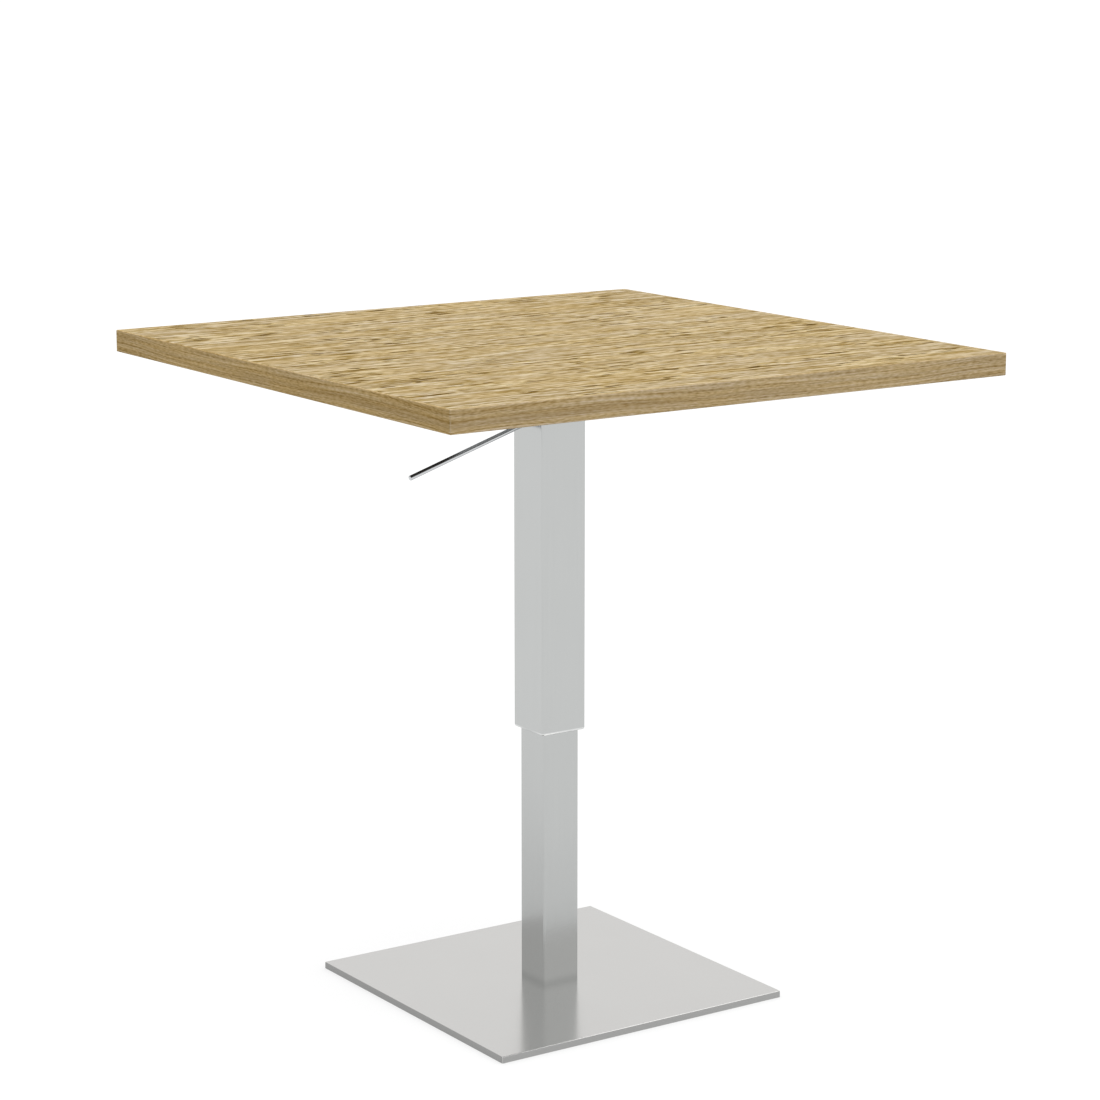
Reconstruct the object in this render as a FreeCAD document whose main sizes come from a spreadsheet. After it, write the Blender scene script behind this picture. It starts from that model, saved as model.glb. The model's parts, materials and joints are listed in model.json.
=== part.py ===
"""Telescoping pedestal table: a square wooden top on a gas-sprung column of two square steel tubes.

Millimetres, +Z up. The origin is on the floor, under the middle of the base plate. The column is shown
fully raised. The release lever leaves the column towards -X, and the front of the table faces -Y.
"""
import FreeCAD, Part
import math
import os

import Sketcher
from FreeCAD import Placement, Rotation, Vector

CORNERS = 4
TOUCH = 1e-6

SIZES = {
    # Top board: a veneered core with bands on its four edges
    "top_side": 750.0,
    "core_thickness": 25.0,
    "veneer_thickness": 0.6,
    "edge_band_thickness": 2.0,
    "edge_band_round": 1.0,
    # Plate on top of the outer tube, and the wood screws that hold the board
    "plate_side": 220.0,
    "plate_thickness": 5.0,
    "plate_corner_radius": 12.0,
    "plate_opening": 40.0,
    "plate_screw_pitch": 184.0,
    "plate_screw_diameter": 4.5,
    "plate_screw_length": 22.0,
    "plate_screw_head": 9.5,
    "plate_screw_head_height": 3.0,
    "plate_screw_chamfer": 1.2,
    "cross_recess_span": 4.8,
    "cross_recess_width": 1.0,
    "cross_recess_depth": 1.8,
    "plate_hole_clearance": 0.6,
    "pilot_spare_depth": 1.0,
    # Base plate and its rubber pads
    "base_side": 400.0,
    "base_thickness": 8.0,
    "base_corner_radius": 1.5,
    "base_edge_round": 0.9,
    "pad_diameter": 30.0,
    "pad_thickness": 3.0,
    "pad_stand": 0.8,
    "pad_chamfer": 0.4,
    "pad_inset": 30.0,
    # Screws from the base plate up into the foot of the column
    "base_screw_diameter": 8.0,
    "base_screw_head": 16.0,
    "base_screw_length": 16.0,
    "base_screw_pitch": 28.0,
    "hex_socket_flats": 5.0,
    "hex_socket_depth": 3.0,
    "foot_thickness": 10.0,
    # Column tubes
    "outer_width": 62.0,
    "outer_wall": 3.0,
    "outer_length": 435.8,
    "outer_corner_radius": 3.0,
    "outer_rim_round": 2.8,
    "inner_width": 50.0,
    "inner_wall": 2.5,
    "inner_corner_radius": 2.2,
    "bore_corner_radius": 1.0,
    "raised_overlap": 103.6,
    # Plastic guides between the tubes
    "lower_guide_length": 50.0,
    "lower_guide_recess": 1.0,
    "upper_guide_length": 46.0,
    "guide_rim": 4.0,
    "guide_plug_depth": 20.0,
    "guide_corner_radius": 1.6,
    "rod_passage": 24.0,
    "guide_screw_diameter": 4.0,
    "guide_screw_head": 7.0,
    "guide_screw_length": 9.0,
    "guide_screw_sink": 0.2,
    "guide_screw_drop": 34.0,
    # Lockable gas spring
    "cylinder_diameter": 28.0,
    "cylinder_wall": 1.5,
    "cylinder_length": 400.0,
    "cylinder_floor": 6.0,
    "cylinder_lip": 1.5,
    "cylinder_mouth": 20.0,
    "cylinder_sink": 6.2,
    "stud_diameter": 8.0,
    "stud_length": 9.0,
    "rod_diameter": 10.0,
    "rod_tail": 4.0,
    "rod_floor_thickness": 6.0,
    "rod_guide_length": 16.0,
    "rod_seal_length": 6.0,
    "piston_length": 20.0,
    "piston_end_gap": 3.0,
    "separator_length": 14.0,
    "gas_chamber_length": 111.0,
    "ring_height": 4.0,
    "ring_depth": 2.5,
    "release_pin_diameter": 3.0,
    "release_pin_spare": 4.0,
    # Cross plate, nut and release head on the rod's upper end
    "bulkhead_thickness": 6.0,
    "nut_flats": 17.0,
    "nut_thickness": 6.0,
    "head_behind": 22.0,
    "head_ahead": 12.0,
    "head_width": 30.0,
    "head_above_pivot": 9.0,
    "head_thread": 10.0,
    "head_corner_radius": 2.0,
    "rocker_room": 10.5,
    # Rocker, its pin and the lever
    "pivot_reach": 14.0,
    "pivot_diameter": 5.0,
    "pivot_head_diameter": 8.0,
    "pivot_head_height": 2.0,
    "pivot_end": 2.4,
    "clip_thickness": 0.8,
    "clip_diameter": 9.0,
    "clip_groove_depth": 0.7,
    "clip_opening_angle": 80.0,
    "rocker_thickness": 11.0,
    "rocker_height": 12.0,
    "rocker_tail": 11.0,
    "rocker_nose_round": 2.5,
    "nose_radius": 5.0,
    "nose_drop": 2.0,
    "socket_floor": 4.0,
    "lever_diameter": 6.0,
    "lever_reach": 162.5,
    "lever_drop": 67.3,
    "lever_droop": 17.3,
    "lever_end_chamfer": 0.5,
    "lever_lift": 9.0,
    # Clearances
    "seat_clearance": 0.1,
    "thread_clearance": 0.05,
    "running_clearance": 0.05,
    "guide_clearance": 0.15,
    "gland_clearance": 0.1,
    "pin_clearance": 0.2,
    "rocker_clearance": 0.3,
    "pin_gap": 0.3,
    "lever_slot_clearance": 0.6,
}

# Heights and widths that follow from the driving dimensions
LEVELS = {
    "base_top": "size.pad_stand + size.base_thickness",
    "foot_top": "base_top + size.foot_thickness",
    "cylinder_top": "foot_top + size.cylinder_length",
    "inner_top": "cylinder_top + size.cylinder_sink",
    "inner_length": "inner_top - base_top",
    "outer_foot": "inner_top - size.raised_overlap",
    "tube_top": "outer_foot + size.outer_length",
    "underside": "tube_top + size.plate_thickness",
    "core_bottom": "underside + size.veneer_thickness",
    "core_top": "core_bottom + size.core_thickness",
    "board_thickness": "size.core_thickness + 2 * size.veneer_thickness",
    "core_side": "size.top_side - 2 * size.edge_band_thickness",
    "outer_half": "size.outer_width / 2",
    "outer_bore": "size.outer_width - 2 * size.outer_wall",
    "inner_bore": "size.inner_width - 2 * size.inner_wall",
    "guide_side": "outer_bore - 2 * size.guide_clearance",
    "plug_side": "inner_bore - 2 * size.seat_clearance",
    "pad_reach": "size.base_side / 2 - size.pad_inset",
    "base_screw_reach": "size.base_screw_pitch / 2",
    "plate_screw_reach": "size.plate_screw_pitch / 2",
    "guide_screw_face": "guide_side / 2 - size.guide_screw_sink",
    "guide_screw_level": "inner_top - size.guide_screw_drop",
    "cylinder_bore": "size.cylinder_diameter - 2 * size.cylinder_wall",
    "rod_guide_bottom": "cylinder_top - size.cylinder_lip - size.rod_guide_length",
    "rod_seal_bottom": "rod_guide_bottom - size.rod_seal_length",
    "piston_bottom": "rod_seal_bottom - size.piston_end_gap - size.piston_length",
    "rod_bottom": "piston_bottom - size.rod_tail",
    "separator_bottom": "foot_top + size.cylinder_floor + size.gas_chamber_length",
    "piston_diameter": "cylinder_bore - 2 * size.gland_clearance",
    "rod_hole": "size.rod_diameter + 2 * size.gland_clearance",
    "pin_hole": "size.release_pin_diameter + 2 * size.pin_clearance",
    "droop_tangent": "tan(size.lever_droop * 1 deg)",
    "droop_sine": "sin(size.lever_droop * 1 deg)",
    "droop_cosine": "cos(size.lever_droop * 1 deg)",
    "lever_entry": "underside - size.lever_drop",
    "pivot_height": "lever_entry + (outer_half - size.pivot_reach) * droop_tangent",
    "nose_arm": "(size.pivot_reach - size.nose_drop * droop_sine) / droop_cosine",
    "nose_height": "pivot_height + nose_arm * droop_sine - size.nose_drop * droop_cosine",
    "pin_top": "nose_height - size.nose_radius - size.pin_gap",
    "slot_bottom": "pivot_height - size.rocker_room",
    "head_bottom": "slot_bottom - size.head_thread",
    "head_height": "pivot_height + size.head_above_pivot - head_bottom",
    "bulkhead_bottom": "head_bottom - size.bulkhead_thickness",
    "nut_bottom": "bulkhead_bottom - size.nut_thickness",
    "rod_length": "slot_bottom - rod_bottom",
    "pin_bottom": "rod_bottom + size.rod_floor_thickness + size.release_pin_spare",
    "lever_length": "(outer_half + size.lever_reach - size.pivot_reach) / droop_cosine",
    "lever_half_height": "size.lever_diameter / 2 / droop_cosine",
    "lever_swing": "(outer_half - size.pivot_reach) * sin(size.lever_lift * 1 deg)",
    "lever_slot_bottom": "lever_entry - lever_half_height - size.lever_slot_clearance",
    "lever_slot_top": (
        "lever_entry + size.outer_wall * droop_tangent + lever_half_height"
        " + lever_swing + size.lever_slot_clearance"
    ),
    "clip_seat": "size.head_width / 2 + size.seat_clearance",
}

doc = FreeCAD.newDocument("telescoping_pedestal_table")
size = doc.addObject("Spreadsheet::Sheet", "size")
level = doc.addObject("Spreadsheet::Sheet", "level")


def fill_sheet(sheet, rows, prefix=""):
    """Writes each name and its number or formula on a row, and gives the cell that name."""
    for row, (name, entry) in enumerate(rows.items(), start=1):
        sheet.set(f"A{row}", name)
        sheet.set(f"B{row}", f"{prefix}{entry}")
        sheet.setAlias(f"B{row}", name)
    doc.recompute()


fill_sheet(size, SIZES)
fill_sheet(level, LEVELS, "=")


def value(expression):
    """The number that an expression over the two sheets has now."""
    return float(size.evalExpression(expression))


# Sketch tools


def new_body(label, rise="0"):
    """A body whose own zero lies at the given height."""
    body = doc.addObject("PartDesign::Body", label)
    body.Label = label
    body.setExpression("Placement.Base.z", rise)
    return body


def origin_item(body, role):
    return next(item for item in body.Origin.OriginFeatures if item.Role == role)


def new_sketch(body, plane, **offsets):
    """A sketch on one of the body's own planes, shifted along the sketch's x, y or z."""
    sketch = body.newObject("Sketcher::SketchObject", "Sketch")
    sketch.AttachmentSupport = (origin_item(body, plane), [""])
    sketch.MapMode = "FlatFace"
    for axis, expression in offsets.items():
        sketch.setExpression(f"AttachmentOffset.Base.{axis}", expression)
    return sketch


def bind(sketch, kind, *where, to):
    """Adds a measured constraint and ties it to an expression."""
    index = sketch.addConstraint(Sketcher.Constraint(kind, *where, value(to)))
    name = f"{kind}{index}"
    sketch.renameConstraint(index, name)
    sketch.setExpression(f"Constraints.{name}", to)


def place_point(sketch, geometry, point, x, y):
    """Holds a point at x, y from the sketch's origin. A plain 0 puts it on the axis."""
    for kind, axis, distance in (("DistanceX", -2, x), ("DistanceY", -1, y)):
        if distance == "0":
            sketch.addConstraint(Sketcher.Constraint("PointOnObject", geometry, point, axis))
        else:
            bind(sketch, kind, -1, 1, geometry, point, to=distance)


def draw_outline(sketch, points):
    """A closed line through points given as pairs of expressions."""
    corners = [Vector(value(x), value(y), 0) for x, y in points]
    ends = corners[1:] + corners[:1]
    lines = [sketch.addGeometry(Part.LineSegment(a, b), False) for a, b in zip(corners, ends)]
    for line, following in zip(lines, lines[1:] + lines[:1]):
        sketch.addConstraint(Sketcher.Constraint("Coincident", line, 2, following, 1))
    for line, (x, y) in zip(lines, points):
        place_point(sketch, line, 1, x, y)


def draw_box(sketch, width, depth):
    """A rectangle round the sketch's origin."""
    x, y = f"({width}) / 2", f"({depth}) / 2"
    draw_outline(sketch, [(f"-{x}", f"-{y}"), (x, f"-{y}"), (x, y), (f"-{x}", y)])


def draw_circle(sketch, diameter, x="0", y="0"):
    centre = Vector(value(x), value(y), 0)
    ring = sketch.addGeometry(Part.Circle(centre, Vector(0, 0, 1), value(diameter) / 2), False)
    bind(sketch, "Diameter", ring, to=diameter)
    place_point(sketch, ring, 3, x, y)


def draw_rounded(sketch, width, height, radius, middle="0"):
    """A rectangle with rounded corners, centred at x 0 and at the given middle along y."""
    half, rise, turn = value(width) / 2, value(height) / 2, value(radius)
    shift = value(middle)
    quarter = math.pi / 2
    upright = Vector(0, 0, 1)
    lines, arcs, rim = [], [], []
    for right, upper, start in ((1, -1, -quarter), (1, 1, 0), (-1, 1, quarter), (-1, -1, 2 * quarter)):
        corner = Vector(right * (half - turn), upper * (rise - turn) + shift, 0)
        circle = Part.Circle(corner, upright, turn)
        rim.append(Part.ArcOfCircle(circle, start, start + quarter))
    for arc, following in zip(rim, rim[1:] + rim[:1]):
        arcs.append(sketch.addGeometry(arc, False))
        lines.append(sketch.addGeometry(Part.LineSegment(arc.EndPoint, following.StartPoint), False))
    for index, (arc, line) in enumerate(zip(arcs, lines)):
        following = arcs[(index + 1) % CORNERS]
        sketch.addConstraint(Sketcher.Constraint("Tangent", arc, 2, line, 1))
        sketch.addConstraint(Sketcher.Constraint("Tangent", line, 2, following, 1))
        if index:
            sketch.addConstraint(Sketcher.Constraint("Equal", arcs[0], arc))
    right, top, left, bottom = lines
    for line in (right, left):
        sketch.addConstraint(Sketcher.Constraint("Vertical", line))
    for line in (top, bottom):
        sketch.addConstraint(Sketcher.Constraint("Horizontal", line))
    bind(sketch, "Radius", arcs[0], to=radius)
    bind(sketch, "DistanceX", left, 1, right, 1, to=width)
    bind(sketch, "DistanceY", bottom, 1, top, 1, to=height)
    bind(sketch, "DistanceX", -1, 1, right, 1, to=f"({width}) / 2")
    bind(sketch, "DistanceY", bottom, 1, -1, 1, to=f"({height}) / 2 - ({middle})")


def draw_square_ring(sketch, outside, outside_radius, inside, inside_radius):
    draw_rounded(sketch, outside, outside, outside_radius)
    draw_rounded(sketch, inside, inside, inside_radius)


# Feature tools


def pad(body, sketch, length, down=False, centred=False):
    feature = body.newObject("PartDesign::Pad", "Pad")
    feature.Profile = sketch
    feature.setExpression("Length", length)
    feature.Reversed = down
    feature.Midplane = centred
    return feature


def revolve(body, sketch, axis="V_Axis", angle="360"):
    feature = body.newObject("PartDesign::Revolution", "Revolution")
    feature.Profile = sketch
    feature.ReferenceAxis = (sketch, [axis])
    feature.setExpression("Angle", angle)
    return feature


def require_less(body, before):
    """Stops the build if a cut took nothing away."""
    doc.recompute()
    if not body.Shape.Volume < before - TOUCH:
        raise RuntimeError(f"a cut in {body.Label} removes nothing")


def pocket(body, sketch, depth=None, ahead=False, both_ways=False):
    """Cuts against the sketch's normal, or along it if ahead. With no depth it goes right through."""
    doc.recompute()
    before = body.Shape.Volume
    feature = body.newObject("PartDesign::Pocket", "Pocket")
    feature.Profile = sketch
    feature.Reversed = ahead
    feature.Midplane = both_ways
    if depth is None:
        feature.Type = "ThroughAll"
    else:
        feature.setExpression("Length", depth)
    require_less(body, before)
    return feature


def groove(body, sketch, axis="V_Axis"):
    doc.recompute()
    before = body.Shape.Volume
    feature = body.newObject("PartDesign::Groove", "Groove")
    feature.Profile = sketch
    feature.ReferenceAxis = (sketch, [axis])
    feature.Angle = 360.0
    require_less(body, before)
    return feature


def repeat_on_corners(body, features):
    """Repeats features round Z, one on each side or corner of the square."""
    pattern = body.newObject("PartDesign::PolarPattern", "PolarPattern")
    pattern.Originals = features
    pattern.Axis = (origin_item(body, "Z_Axis"), [""])
    pattern.Angle = 360.0
    pattern.Occurrences = CORNERS
    body.Tip = pattern


def round_edges(body, radius, chosen):
    """Fillets the edges whose boxes the test accepts."""
    doc.recompute()
    base = body.Tip
    boxes = [edge.BoundBox for edge in base.Shape.Edges]
    names = [f"Edge{number}" for number, box in enumerate(boxes, start=1) if chosen(box)]
    feature = body.newObject("PartDesign::Fillet", "Fillet")
    feature.Base = (base, names)
    feature.setExpression("Radius", radius)


def is_upright(box):
    return box.ZLength > TOUCH and box.XLength < TOUCH and box.YLength < TOUCH


def countersunk_outline(head, shank, length, gap="0"):
    """Half section of a countersunk screw that points up, or of its hole when a gap is given."""
    rim = f"{head} / 2 + {gap}"
    neck = f"{shank} / 2 + {gap}"
    cone = f"({head} - {shank}) / 2"
    return [("0", "0"), (rim, "0"), (neck, cone), (neck, length), ("0", length)]


def hexagon_outline(flats):
    corner, side = f"{flats} / sqrt(3)", f"{flats} / 2"
    half_corner = f"{corner} / 2"
    return [
        (corner, "0"), (half_corner, side), (f"-{half_corner}", side),
        (f"-{corner}", "0"), (f"-{half_corner}", f"-{side}"), (half_corner, f"-{side}"),
    ]


def cross_outline(span, width):
    """An upright cross round zero, as in a screw's head."""
    arm, side = f"{span} / 2", f"{width} / 2"
    return [
        (arm, f"-{side}"), (arm, side), (side, side), (side, arm), (f"-{side}", arm), (f"-{side}", side),
        (f"-{arm}", side), (f"-{arm}", f"-{side}"), (f"-{side}", f"-{side}"), (f"-{side}", f"-{arm}"),
        (side, f"-{arm}"), (side, f"-{side}"),
    ]


def ring_outline(inside, outside, height):
    """Half section of a plain ring that stands on zero."""
    near, far = f"({inside}) / 2", f"({outside}) / 2"
    return [(near, "0"), (far, "0"), (far, height), (near, height)]


def grooved_outline(inside, outside, height):
    """Half section of a piston with a ring groove halfway up its side."""
    near, far = f"({inside}) / 2", f"({outside}) / 2"
    floor = f"{far} - size.ring_depth"
    low = f"({height} - size.ring_height) / 2"
    high = f"({height} + size.ring_height) / 2"
    if inside == "0":
        near = "0"
    return [
        (near, "0"), (far, "0"), (far, low), (floor, low),
        (floor, high), (far, high), (far, height), (near, height),
    ]


# Base


def make_base_plate():
    body = new_body("base_plate", "size.pad_stand")
    plate = new_sketch(body, "XY_Plane")
    draw_rounded(plate, "size.base_side", "size.base_side", "size.base_corner_radius")
    pad(body, plate, "size.base_thickness")
    top = value("size.base_thickness")
    round_edges(body, "size.base_edge_round", lambda box: box.ZMin > top - TOUCH)
    recess = new_sketch(body, "XY_Plane")
    recess_width = "size.pad_diameter + 2 * size.seat_clearance"
    draw_circle(recess, recess_width, "level.pad_reach", "level.pad_reach")
    pad_seat = pocket(body, recess, "size.pad_thickness - size.pad_stand", ahead=True)
    hole = new_sketch(body, "XZ_Plane", x="level.base_screw_reach", z="-level.base_screw_reach")
    hole_outline = countersunk_outline(
        "size.base_screw_head", "size.base_screw_diameter", "size.base_thickness", "size.seat_clearance"
    )
    draw_outline(hole, hole_outline)
    repeat_on_corners(body, [pad_seat, groove(body, hole)])


def make_floor_pads():
    body = new_body("floor_pads")
    disc = new_sketch(body, "XZ_Plane", x="level.pad_reach", z="-level.pad_reach")
    radius = "size.pad_diameter / 2"
    disc_outline = [
        ("0", "0"), (f"{radius} - size.pad_chamfer", "0"), (radius, "size.pad_chamfer"),
        (radius, "size.pad_thickness"), ("0", "size.pad_thickness"),
    ]
    draw_outline(disc, disc_outline)
    repeat_on_corners(body, [revolve(body, disc)])


def make_base_screws():
    body = new_body("base_screws", "size.pad_stand")
    screw = new_sketch(body, "XZ_Plane", x="level.base_screw_reach", z="-level.base_screw_reach")
    screw_outline = countersunk_outline(
        "size.base_screw_head", "size.base_screw_diameter", "size.base_screw_length"
    )
    draw_outline(screw, screw_outline)
    turned = revolve(body, screw)
    socket = new_sketch(body, "XY_Plane", x="level.base_screw_reach", y="level.base_screw_reach")
    draw_outline(socket, hexagon_outline("size.hex_socket_flats"))
    repeat_on_corners(body, [turned, pocket(body, socket, "size.hex_socket_depth", ahead=True)])


def make_column_foot():
    body = new_body("column_foot", "level.base_top")
    block = new_sketch(body, "XY_Plane")
    draw_rounded(block, "level.plug_side", "level.plug_side", "size.guide_corner_radius")
    pad(body, block, "size.foot_thickness")
    stud_hole = new_sketch(body, "XY_Plane")
    draw_circle(stud_hole, "size.stud_diameter + 2 * size.thread_clearance")
    pocket(body, stud_hole, ahead=True)
    tapped = new_sketch(body, "XY_Plane")
    tapped_width = "size.base_screw_diameter + 2 * size.thread_clearance"
    draw_circle(tapped, tapped_width, "level.base_screw_reach", "level.base_screw_reach")
    repeat_on_corners(body, [pocket(body, tapped, ahead=True)])


# Column tubes and guides


def make_inner_tube():
    body = new_body("inner_tube", "level.base_top")
    section = new_sketch(body, "XY_Plane")
    draw_square_ring(
        section, "size.inner_width", "size.inner_corner_radius", "level.inner_bore", "size.bore_corner_radius"
    )
    pad(body, section, "level.inner_length")
    hole = new_sketch(body, "YZ_Plane")
    hole_width = "size.guide_screw_diameter + 2 * size.thread_clearance"
    draw_circle(hole, hole_width, "0", "level.inner_length - size.guide_screw_drop")
    repeat_on_corners(body, [pocket(body, hole)])


def make_upper_guide():
    """Cap on the inner tube: a rim, a sleeve outside the tube and a plug inside it."""
    body = new_body("upper_guide", "level.inner_top")
    rim = new_sketch(body, "XY_Plane")
    draw_rounded(rim, "level.guide_side", "level.guide_side", "size.guide_corner_radius")
    pad(body, rim, "size.guide_rim")
    sleeve = new_sketch(body, "XY_Plane")
    draw_square_ring(
        sleeve, "level.guide_side", "size.guide_corner_radius",
        "size.inner_width + 2 * size.seat_clearance", "size.inner_corner_radius + size.seat_clearance",
    )
    pad(body, sleeve, "size.upper_guide_length", down=True)
    plug = new_sketch(body, "XY_Plane")
    draw_rounded(plug, "level.plug_side", "level.plug_side", "size.guide_corner_radius")
    pad(body, plug, "size.guide_plug_depth", down=True)
    passage = new_sketch(body, "XZ_Plane")
    seat = "size.cylinder_diameter / 2 + size.seat_clearance"
    shoulder = "level.cylinder_top - level.inner_top + size.seat_clearance"
    passage_outline = [
        ("0", "size.guide_rim"), ("size.rod_passage / 2", "size.guide_rim"),
        ("size.rod_passage / 2", shoulder), (seat, shoulder),
        (seat, "-size.guide_plug_depth"), ("0", "-size.guide_plug_depth"),
    ]
    draw_outline(passage, passage_outline)
    groove(body, passage)
    hole = new_sketch(body, "XZ_Plane", y="-size.guide_screw_drop")
    wide = "size.guide_screw_head / 2 + size.seat_clearance"
    narrow = "size.guide_screw_diameter / 2 + size.seat_clearance"
    neck = "level.guide_screw_face - (size.guide_screw_head - size.guide_screw_diameter) / 2"
    hole_outline = [
        ("size.inner_width / 2", "0"), ("level.guide_side / 2", "0"), ("level.guide_side / 2", wide),
        ("level.guide_screw_face", wide), (neck, narrow), ("size.inner_width / 2", narrow),
    ]
    draw_outline(hole, hole_outline)
    repeat_on_corners(body, [groove(body, hole, "H_Axis")])


def make_guide_screws():
    body = new_body("guide_screws", "level.guide_screw_level")
    screw = new_sketch(body, "XZ_Plane")
    face = "level.guide_screw_face"
    neck = f"{face} - (size.guide_screw_head - size.guide_screw_diameter) / 2"
    tip = f"{face} - size.guide_screw_length"
    shank = "size.guide_screw_diameter / 2"
    screw_outline = [
        (tip, "0"), (face, "0"), (face, "size.guide_screw_head / 2"), (neck, shank), (tip, shank),
    ]
    draw_outline(screw, screw_outline)
    repeat_on_corners(body, [revolve(body, screw, "H_Axis")])


def make_outer_tube():
    body = new_body("outer_tube", "level.outer_foot")
    section = new_sketch(body, "XY_Plane")
    draw_square_ring(
        section, "size.outer_width", "size.outer_corner_radius", "level.outer_bore", "size.bore_corner_radius"
    )
    pad(body, section, "size.outer_length")
    bore_half = value("level.outer_bore") / 2

    def on_lower_rim(box):
        reach = max(abs(box.XMin), abs(box.XMax), abs(box.YMin), abs(box.YMax))
        return box.ZMax < TOUCH and reach > bore_half + TOUCH

    round_edges(body, "size.outer_rim_round", on_lower_rim)
    slot = new_sketch(body, "YZ_Plane")
    slot_width = "size.lever_diameter + 2 * size.lever_slot_clearance"
    slot_height = "level.lever_slot_top - level.lever_slot_bottom"
    slot_middle = "(level.lever_slot_top + level.lever_slot_bottom) / 2 - level.outer_foot"
    slot_round = "size.lever_diameter / 2"
    draw_rounded(slot, slot_width, slot_height, slot_round, slot_middle)
    pocket(body, slot)


def make_lower_guide():
    body = new_body("lower_guide", "level.outer_foot + size.lower_guide_recess")
    section = new_sketch(body, "XY_Plane")
    draw_square_ring(
        section, "level.outer_bore - 2 * size.seat_clearance", "size.guide_corner_radius",
        "size.inner_width + 2 * size.guide_clearance", "size.inner_corner_radius + size.guide_clearance",
    )
    pad(body, section, "size.lower_guide_length")


# Gas spring


def make_turned(label, rise, outline):
    """A piece turned about the column's axis."""
    body = new_body(label, rise)
    section = new_sketch(body, "XZ_Plane")
    draw_outline(section, outline)
    revolve(body, section)


def make_gas_spring():
    stud, outside = "size.stud_diameter / 2", "size.cylinder_diameter / 2"
    mouth, bore = "size.cylinder_mouth / 2", "level.cylinder_bore / 2"
    lip = "size.cylinder_length - size.cylinder_lip"
    cylinder_outline = [
        ("0", "-size.stud_length"), (stud, "-size.stud_length"), (stud, "0"), (outside, "0"),
        (outside, "size.cylinder_length"), (mouth, "size.cylinder_length"), (mouth, lip), (bore, lip),
        (bore, "size.cylinder_floor"), ("0", "size.cylinder_floor"),
    ]
    make_turned("gas_cylinder", "level.foot_top", cylinder_outline)
    for label, rise, height in (
        ("rod_guide", "level.rod_guide_bottom", "size.rod_guide_length"),
        ("rod_seal", "level.rod_seal_bottom", "size.rod_seal_length"),
    ):
        make_turned(label, rise, ring_outline("level.rod_hole", "level.piston_diameter", height))
    rod, pin = "size.rod_diameter / 2", "level.pin_hole / 2"
    rod_outline = [
        ("0", "0"), (rod, "0"), (rod, "level.rod_length"), (pin, "level.rod_length"),
        (pin, "size.rod_floor_thickness"), ("0", "size.rod_floor_thickness"),
    ]
    make_turned("gas_rod", "level.rod_bottom", rod_outline)
    piston_hole = "size.rod_diameter + 2 * size.thread_clearance"
    piston_outline = grooved_outline(piston_hole, "level.piston_diameter", "size.piston_length")
    make_turned("gas_piston", "level.piston_bottom", piston_outline)
    separator_outline = grooved_outline("0", "level.piston_diameter", "size.separator_length")
    make_turned("separator_piston", "level.separator_bottom", separator_outline)
    groove_width = "level.piston_diameter - 2 * size.ring_depth"
    seal_outline = ring_outline(groove_width, "level.piston_diameter", "size.ring_height")
    for label, bottom, height in (
        ("piston_seal", "level.piston_bottom", "size.piston_length"),
        ("separator_seal", "level.separator_bottom", "size.separator_length"),
    ):
        make_turned(label, f"{bottom} + ({height} - size.ring_height) / 2", seal_outline)
    pin_radius = "size.release_pin_diameter / 2"
    pin_length = "level.pin_top - level.pin_bottom"
    pin_outline = [("0", "0"), (pin_radius, "0"), (pin_radius, pin_length), ("0", pin_length)]
    make_turned("release_pin", "level.pin_bottom", pin_outline)


# Release head


def make_tube_bulkhead():
    body = new_body("tube_bulkhead", "level.bulkhead_bottom")
    plate = new_sketch(body, "XY_Plane")
    side = "level.outer_bore - 2 * size.seat_clearance"
    draw_rounded(plate, side, side, "size.guide_corner_radius")
    draw_circle(plate, "level.rod_hole")
    pad(body, plate, "size.bulkhead_thickness")


def make_rod_nut():
    body = new_body("rod_nut", "level.nut_bottom")
    hexagon = new_sketch(body, "XY_Plane")
    draw_outline(hexagon, hexagon_outline("size.nut_flats"))
    draw_circle(hexagon, "size.rod_diameter + 2 * size.thread_clearance")
    pad(body, hexagon, "size.nut_thickness")


def make_release_head():
    """Cast block on the rod's end, slotted for the rocker."""
    body = new_body("release_head", "level.head_bottom")
    block = new_sketch(body, "XZ_Plane")
    block_outline = [
        ("-size.head_behind", "0"), ("size.head_ahead", "0"),
        ("size.head_ahead", "level.head_height"), ("-size.head_behind", "level.head_height"),
    ]
    draw_outline(block, block_outline)
    pad(body, block, "size.head_width", centred=True)
    round_edges(body, "size.head_corner_radius", is_upright)
    slot = new_sketch(body, "XY_Plane", z="level.head_height")
    slot_width = "size.rocker_thickness + 2 * size.rocker_clearance"
    draw_box(slot, "2 * size.head_behind + 2 * size.head_ahead", slot_width)
    pocket(body, slot, "level.head_height - size.head_thread")
    bore = new_sketch(body, "XY_Plane")
    draw_circle(bore, "size.rod_diameter + 2 * size.thread_clearance")
    pocket(body, bore, ahead=True)
    pivot = new_sketch(body, "XZ_Plane")
    pivot_width = "size.pivot_diameter + 2 * size.running_clearance"
    draw_circle(pivot, pivot_width, "-size.pivot_reach", "level.pivot_height - level.head_bottom")
    pocket(body, pivot, both_ways=True)


def at_pivot(label, tilt=None):
    """A body whose origin is on the rocker's pivot, tilted about -Y if an angle is given."""
    body = new_body(label, "level.pivot_height")
    body.Placement = Placement(Vector(), Rotation(Vector(0, -1, 0), 1.0 if tilt else 0.0))
    body.setExpression("Placement.Base.x", "-size.pivot_reach")
    if tilt:
        body.setExpression("Placement.Rotation.Angle", tilt)
    return body


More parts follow.
